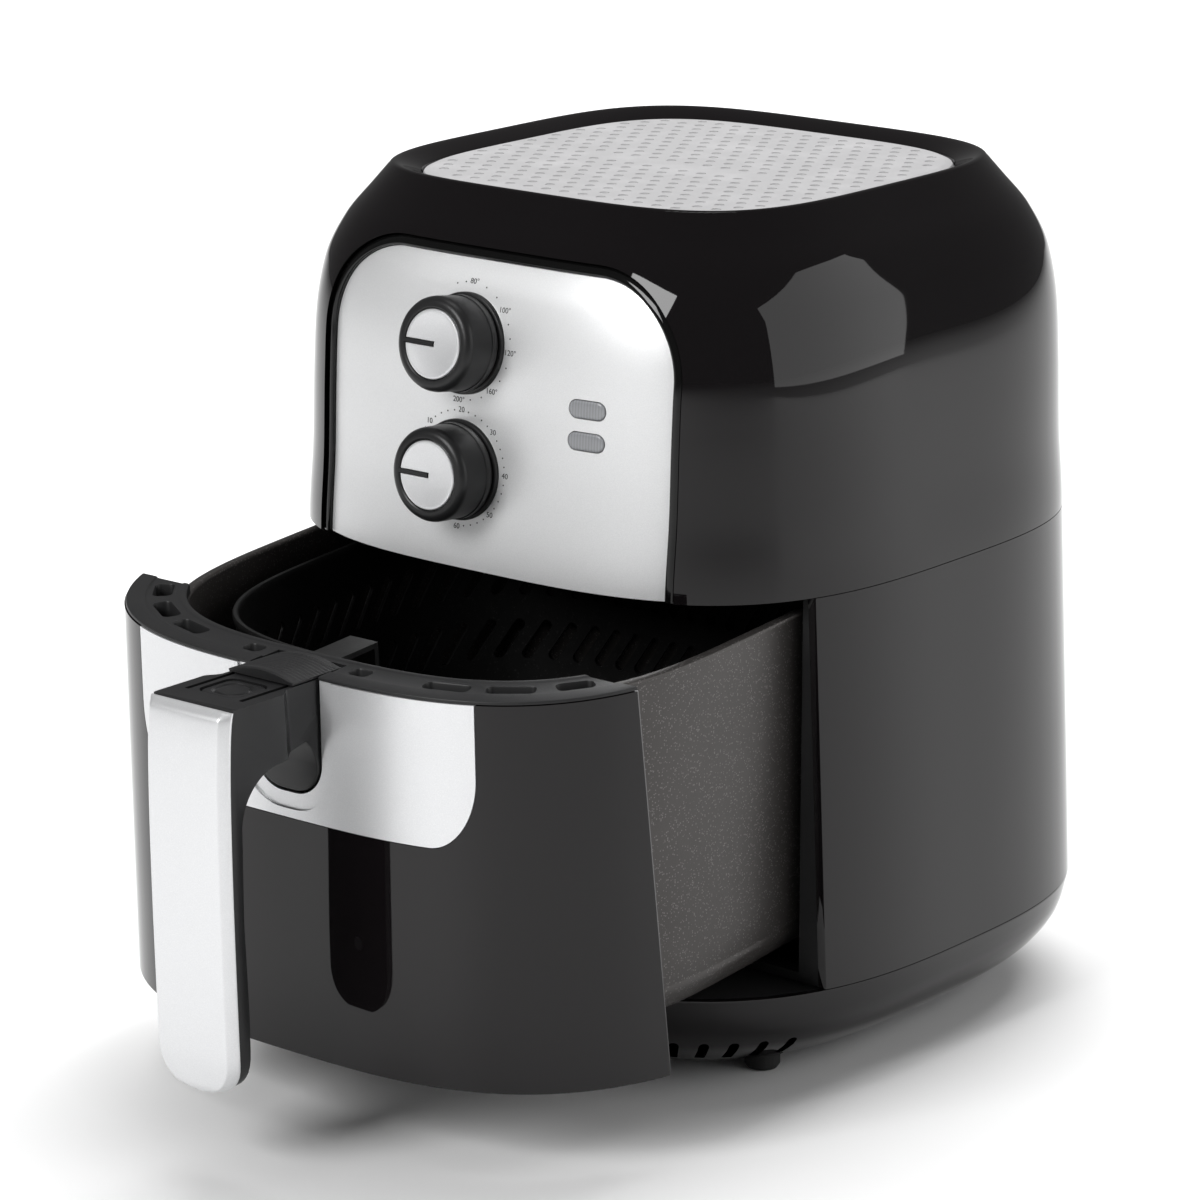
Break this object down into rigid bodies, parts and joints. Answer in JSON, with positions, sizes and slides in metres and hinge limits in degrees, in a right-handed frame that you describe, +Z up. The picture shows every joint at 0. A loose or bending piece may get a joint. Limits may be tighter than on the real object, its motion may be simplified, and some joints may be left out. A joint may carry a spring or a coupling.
{
  "type": "air fryer",
  "caption": "Basket air fryer with a domed gloss black housing, silver dial panel, two dials and a pull-out drawer with a long upright handle, shown partly open.",
  "frame": {"origin": "on the surface it stands on, under the middle of the whole part with its drawer out", "axes": "+Z up, -Y out of the drawer front towards the user, +X to the right as seen from the front"},
  "size_m": [0.2672, 0.4146, 0.32],
  "materials": {
    "gloss_black": "high gloss moulded",
    "gloss_bezel": "high gloss moulded",
    "satin_black": "satin moulded",
    "matte_black": "fine matte texture",
    "dark_inside": "matte moulded",
    "silver_panel": "satin silver paint",
    "silver_trim": "satin silver paint",
    "light_grey": "matte moulded with dimples",
    "lens_grey": "translucent",
    "pan_coating": "speckled non-stick coating",
    "basket_coating": "satin non-stick coating",
    "bare_steel": "rolled sheet",
    "heater_steel": "heat-darkened",
    "rubber_foot": "moulded",
    "bell_brass": "turned"
  },
  "bodies": {
    "body": {"upper_housing": "gloss_black", "lower_housing": "gloss_black", "base": "gloss_black", "panel_bezel": "gloss_bezel", "opening_frame": "dark_inside", "base_deck": "dark_inside", "top_plate": "light_grey", "terminal_block": "light_grey", "glide_pad_left": "satin_black", "glide_pad_right": "satin_black", "control_panel": "silver_panel", "lamp_upper": "lens_grey", "lamp_lower": "lens_grey", "temp_dial_ring": "satin_black", "timer_dial_ring": "satin_black", "rear_vent": "satin_black", "safety_switch": "matte_black", "cord_gland": "rubber_foot", "timer_bell": "bell_brass", "heater_element": "heater_steel", "foot_front_left": "rubber_foot", "base_screw_front_left": "bare_steel", "foot_front_right": "rubber_foot", "base_screw_front_right": "bare_steel", "foot_rear_left": "rubber_foot", "base_screw_rear_left": "bare_steel", "foot_rear_right": "rubber_foot", "base_screw_rear_right": "bare_steel", "inner_chamber": "bare_steel", "heater_dish": "bare_steel", "heater_guard": "bare_steel", "motor": "bare_steel", "motor_bracket": "bare_steel", "temp_bracket": "bare_steel", "timer_bracket": "bare_steel", "thermostat": "bare_steel", "timer_unit": "bare_steel"},
    "rotor": {"motor_shaft": "bare_steel", "hot_air_fan": "bare_steel", "cooling_fan": "matte_black"},
    "temp_dial": {"temp_knob": "satin_black", "temp_knob_cap": "silver_panel", "temp_shaft": "bare_steel"},
    "timer_dial": {"timer_knob": "satin_black", "timer_knob_cap": "silver_panel", "timer_shaft": "bare_steel"},
    "drawer": {"pan": "pan_coating", "drawer_front": "gloss_black", "drawer_trim": "silver_trim", "drawer_rim": "matte_black", "latch_pocket": "dark_inside", "basket": "basket_coating", "basket_bracket": "basket_coating", "handle_core": "satin_black", "handle_cover": "silver_trim", "handle_screw_lower": "bare_steel", "handle_screw_upper": "bare_steel", "button_spring": "bare_steel"},
    "release_button": {"release_button": "satin_black"},
    "button_guard": {"button_guard": "matte_black"}
  },
  "joints": [
    {"name": "drawer_pull", "type": "hinge", "parent": "body", "child": "drawer", "pos_m": [0, 0.02693, -1.141], "axis": [1, 0, 0], "range_deg": [-4.33, 3]},
    {"name": "release_press", "type": "slide", "parent": "drawer", "child": "release_button", "axis": [0, 0, -1], "range_m": [0, 0.002], "stiffness_N_per_m": 400, "springref_m": -0.003, "deforming": ["button_spring"]},
    {"name": "guard_slide", "type": "slide", "parent": "drawer", "child": "button_guard", "axis": [0, -1, 0], "range_m": [0, 0.022]},
    {"name": "temp_turn", "type": "hinge", "parent": "body", "child": "temp_dial", "pos_m": [-0.01, -0.04459, 0.26677], "axis": [0, 0.9885, -0.151], "range_deg": [0, 275]},
    {"name": "timer_turn", "type": "hinge", "parent": "body", "child": "timer_dial", "pos_m": [-0.01, -0.04818, 0.22089], "axis": [0, 0.9976, -0.0692], "range_deg": [0, 270]},
    {"name": "fan_spin", "type": "hinge", "parent": "body", "child": "rotor", "pos_m": [0, 0.07163, 0.25], "axis": [0, 0, 1], "continuous": true}
  ]
}
